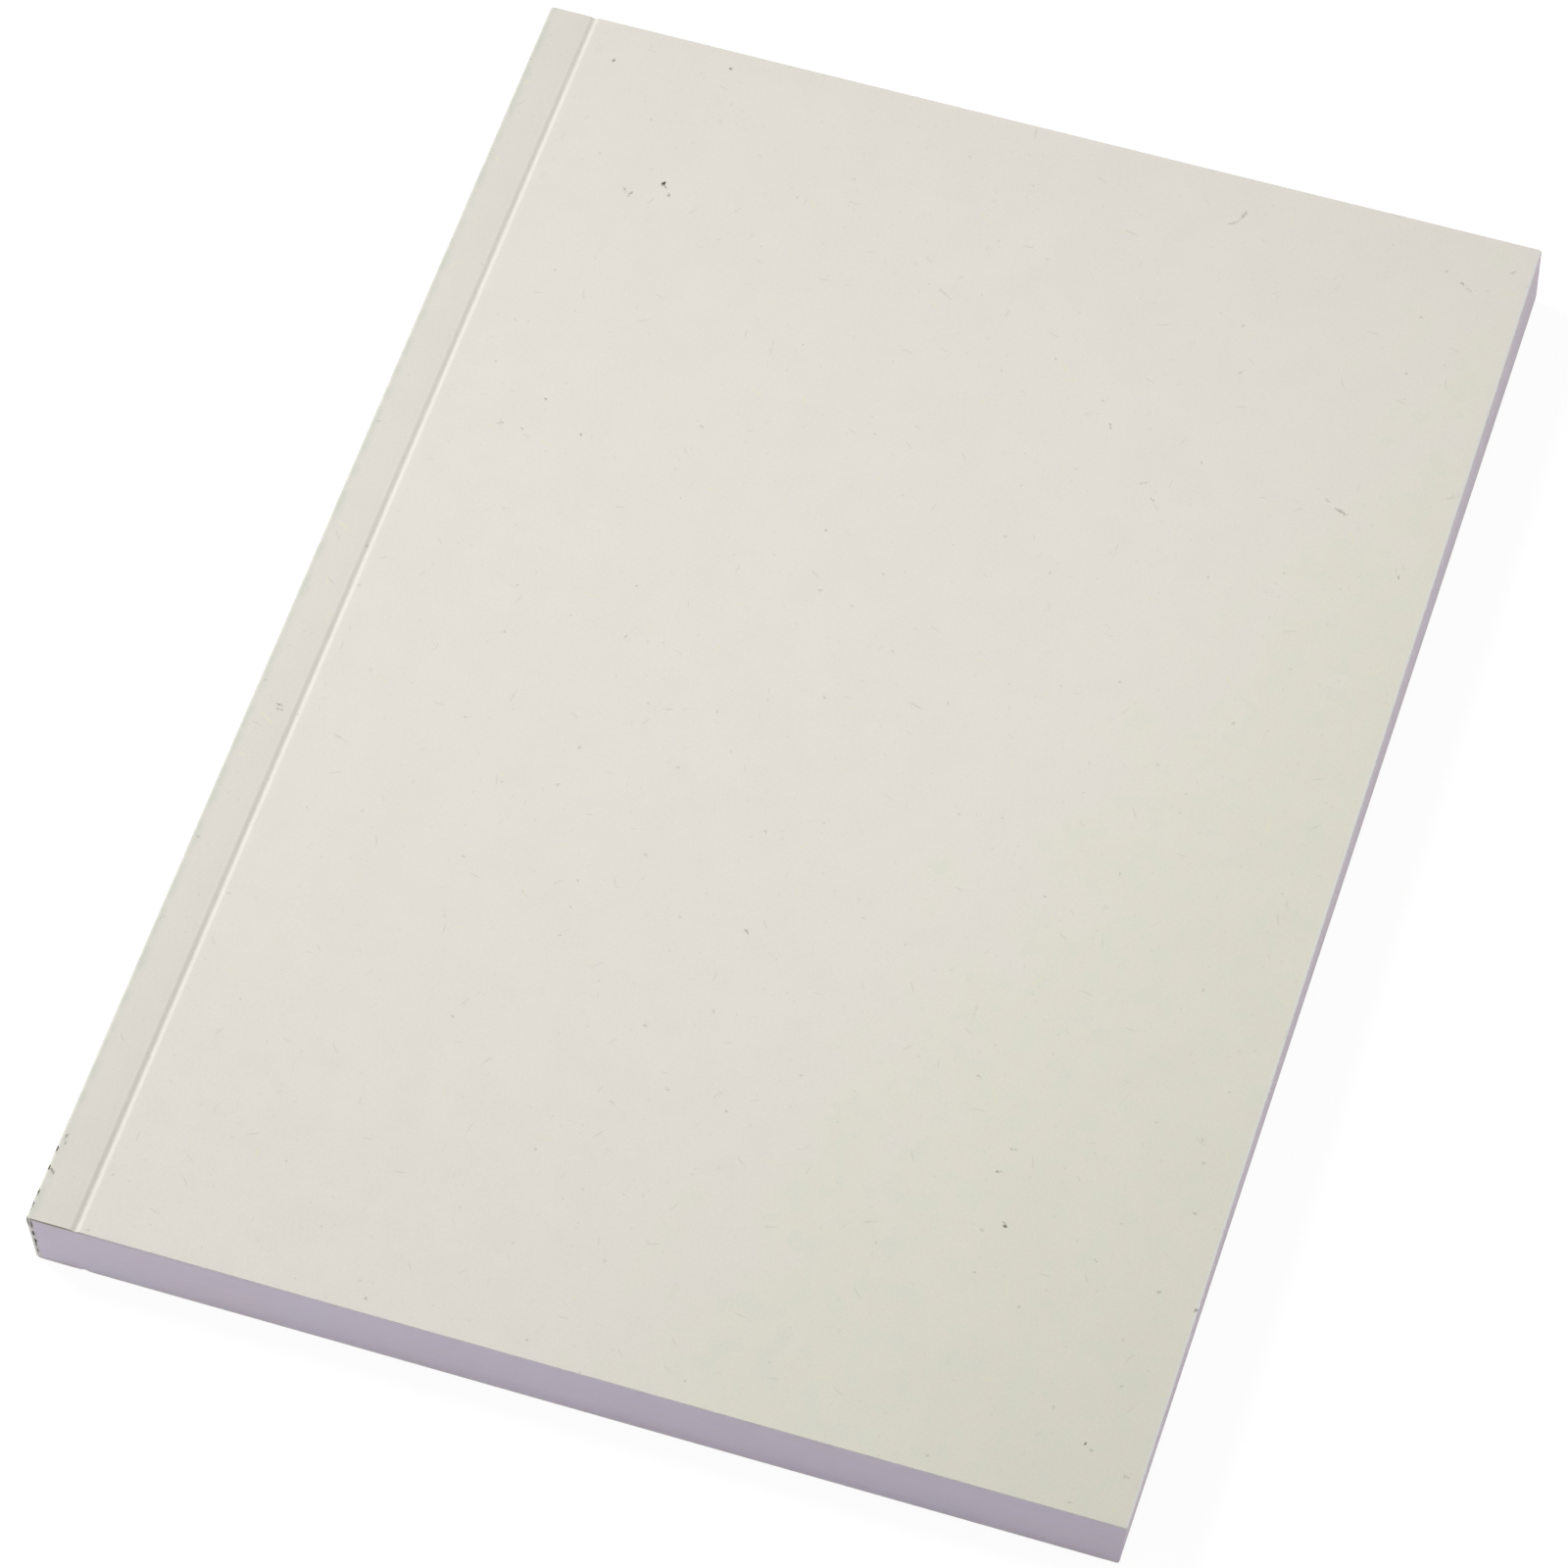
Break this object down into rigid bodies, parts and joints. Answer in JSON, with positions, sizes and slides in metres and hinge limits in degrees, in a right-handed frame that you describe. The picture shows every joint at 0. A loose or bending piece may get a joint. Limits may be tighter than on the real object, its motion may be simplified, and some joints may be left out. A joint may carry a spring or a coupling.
{
  "type": "softcover notebook",
  "caption": "Perfect-bound softcover notebook with a plain off-white card cover, a scored hinge crease beside the spine on each side and a trimmed page block.",
  "frame": {"origin": "middle of the face that the closed book rests on, the outside of the back cover", "axes": "+X from the spine to the fore edge, +Y from the tail to the head, +Z out of the front cover; the closed book lies flat on its back cover"},
  "size_m": [0.148, 0.21, 0.0105],
  "materials": {
    "page_paper": "uncoated writing paper, cool white, trimmed edges",
    "adhesive": "hot-melt binding adhesive, brownish at its cut ends",
    "cover_card": "uncoated off-white recycled card with fine specks and fibres"
  },
  "bodies": {
    "block": {"page_block": "page_paper", "spine_adhesive": "adhesive", "spine_cover": "cover_card"},
    "front": {"front_cover": "cover_card"},
    "back": {"back_cover": "cover_card"}
  },
  "joints": [
    {"name": "front_cover_hinge", "type": "hinge", "parent": "block", "child": "front", "pos_m": [-0.0675, 0, 0.01055], "axis": [0, -1, 0], "range_deg": [0, 180]},
    {"name": "back_cover_hinge", "type": "hinge", "parent": "block", "child": "back", "pos_m": [-0.0675, 0, -0.00005], "axis": [0, 1, 0], "range_deg": [0, 180]}
  ]
}
